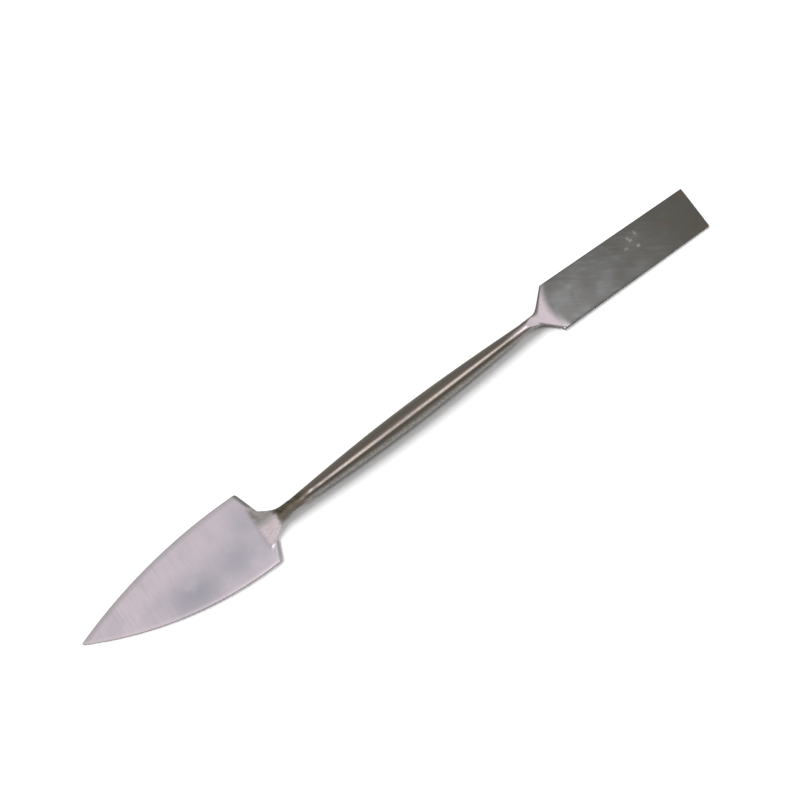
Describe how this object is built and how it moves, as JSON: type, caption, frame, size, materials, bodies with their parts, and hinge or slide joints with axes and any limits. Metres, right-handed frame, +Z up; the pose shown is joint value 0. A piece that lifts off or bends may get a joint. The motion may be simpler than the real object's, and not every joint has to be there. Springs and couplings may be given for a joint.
{
  "type": "double-ended spatula",
  "caption": "One-piece steel hand tool with a pointed leaf blade and a square-ended blade on a slim swelled handle, for scooping, spreading and smoothing.",
  "frame": {"origin": "middle of the bounding box, on the surface that both blades lie on", "axes": "+X along the handle from the leaf blade to the square blade, +Y across the blades, +Z up from the surface"},
  "size_m": [0.24, 0.026, 0.0066],
  "materials": {
    "forged_steel": "drop-forged steel, both blades and their roots ground bright, handle left dark and smooth"
  },
  "bodies": {
    "root": {"spatula": "forged_steel"}
  },
  "joints": []
}
